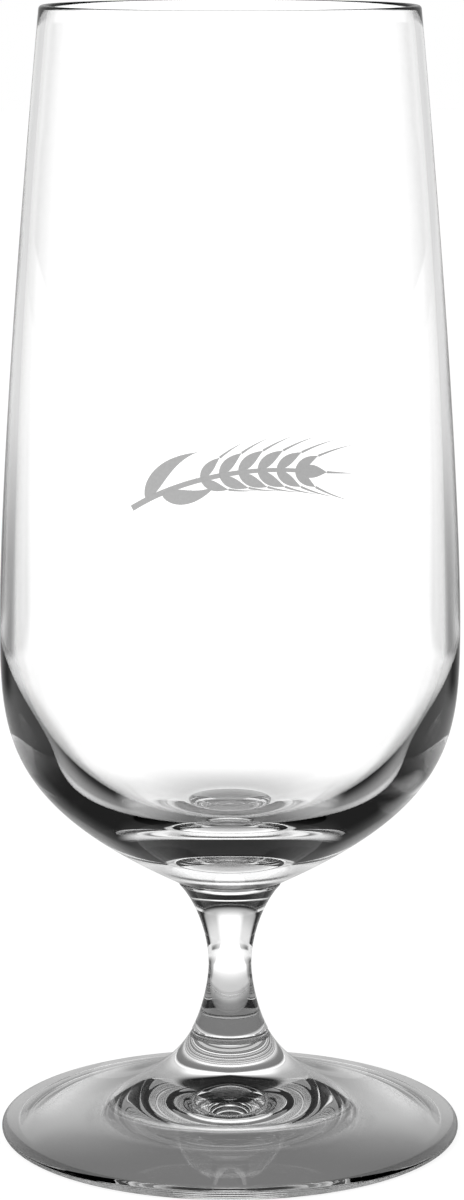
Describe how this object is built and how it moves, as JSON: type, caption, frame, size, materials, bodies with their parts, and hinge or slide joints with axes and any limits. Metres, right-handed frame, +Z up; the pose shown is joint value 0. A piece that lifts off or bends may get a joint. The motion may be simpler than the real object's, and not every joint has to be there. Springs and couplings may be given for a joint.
{
  "type": "stemmed beer glass",
  "caption": "Tall tulip-shaped beer glass in clear glass: a narrowing bowl on a short waisted stem and a round foot that it stands on.",
  "frame": {"origin": "on the table, under the middle of the foot", "axes": "+Z up along the axis of the glass; the engraved side faces -Y"},
  "size_m": [0.075, 0.075, 0.183],
  "materials": {
    "bowl_glass": "clear, fire polished",
    "stem_glass": "clear, fire polished",
    "foot_glass": "clear, fire polished",
    "engraving": "matt engraved grey"
  },
  "bodies": {
    "root": {"bowl": "bowl_glass", "stem": "stem_glass", "foot": "foot_glass"}
  },
  "joints": []
}
